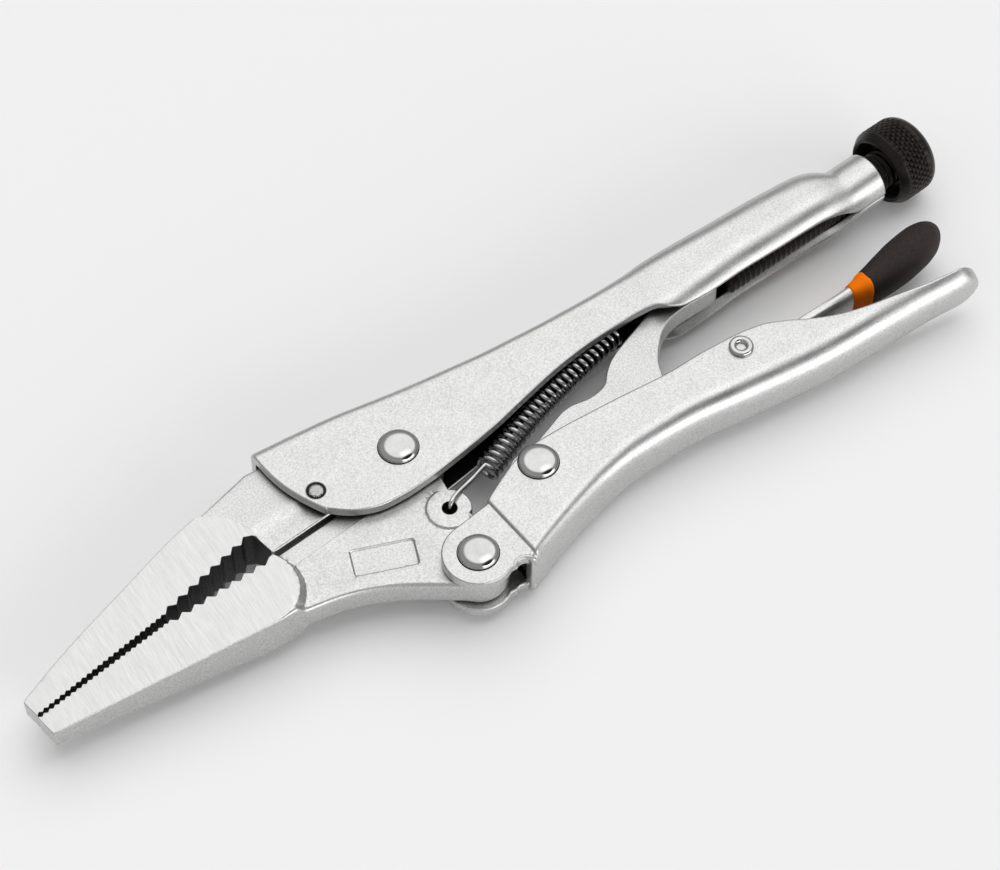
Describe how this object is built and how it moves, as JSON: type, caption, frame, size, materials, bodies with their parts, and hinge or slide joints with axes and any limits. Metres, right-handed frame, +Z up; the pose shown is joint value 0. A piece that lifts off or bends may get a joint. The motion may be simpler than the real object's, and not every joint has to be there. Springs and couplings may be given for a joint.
{
  "type": "locking pliers",
  "caption": "Long-nose locking pliers with pressed steel channel handles, toggle linkage, release lever and adjusting screw, lying flat and locked.",
  "frame": {"origin": "bottom centre of the bounding box, as the pliers lie flat", "axes": "+X from the jaw tips to the adjusting screw, +Y from the moving handle to the fixed handle, +Z up along the pivots"},
  "size_m": [0.2376, 0.0594, 0.0186],
  "materials": {
    "handle_steel": "satin nickel plate over fine-blasted pressed steel",
    "jaw_steel": "blasted forged steel with ground nose faces",
    "pin_steel": "dull steel",
    "rivet_steel": "polished",
    "link_steel": "blasted satin",
    "lever_steel": "satin",
    "collar": "smooth orange dip",
    "grip": "soft matt black-brown dip",
    "spring_steel": "oiled black spring steel",
    "black_oxide": "black oxide"
  },
  "bodies": {
    "fixed_body": {"fixed_handle": "handle_steel", "fixed_jaw": "jaw_steel", "jaw_fixing_pin": "pin_steel", "main_pivot_rivet": "rivet_steel", "jaw_spring": "spring_steel"},
    "moving_jaw_body": {"moving_jaw": "jaw_steel"},
    "moving_handle_body": {"moving_handle": "handle_steel", "handle_pivot_rivet": "rivet_steel", "link_pivot_rivet": "rivet_steel", "lever_rivet": "rivet_steel"},
    "link_body": {"toggle_link": "link_steel"},
    "lever_body": {"release_lever": "lever_steel", "lever_collar": "collar", "lever_grip": "grip"},
    "screw_body": {"adjusting_screw": "black_oxide"}
  },
  "joints": [
    {"name": "jaw_pivot", "type": "hinge", "parent": "fixed_body", "child": "moving_jaw_body", "pos_m": [-0.0257, 0.00876, 0.0093], "axis": [0, 0, 1], "range_deg": [0, 18], "deforming": ["jaw_spring"]},
    {"name": "handle_pivot", "type": "hinge", "parent": "moving_jaw_body", "child": "moving_handle_body", "pos_m": [-0.0253, -0.02215, 0.0093], "axis": [0, 0, 1], "range_deg": [-64.5, 0]},
    {"name": "link_pivot", "type": "hinge", "parent": "moving_handle_body", "child": "link_body", "pos_m": [-0.0032, -0.01035, 0.0093], "axis": [0, 0, 1], "range_deg": [0, 72.1]},
    {"name": "lever_pivot", "type": "hinge", "parent": "moving_handle_body", "child": "lever_body", "pos_m": [0.0493, -0.00855, 0.0093], "axis": [0, 0, 1], "range_deg": [-8, 2]},
    {"name": "screw_turn", "type": "hinge", "parent": "fixed_body", "child": "screw_body", "pos_m": [0.0543, 0.01306, 0.0093], "axis": [0.9925, 0.1219, 0], "continuous": true}
  ],
  "couplings": [
    {"joint": "handle_pivot", "follows": "jaw_pivot", "ratio": -3.58},
    {"joint": "link_pivot", "follows": "jaw_pivot", "ratio": 4}
  ]
}
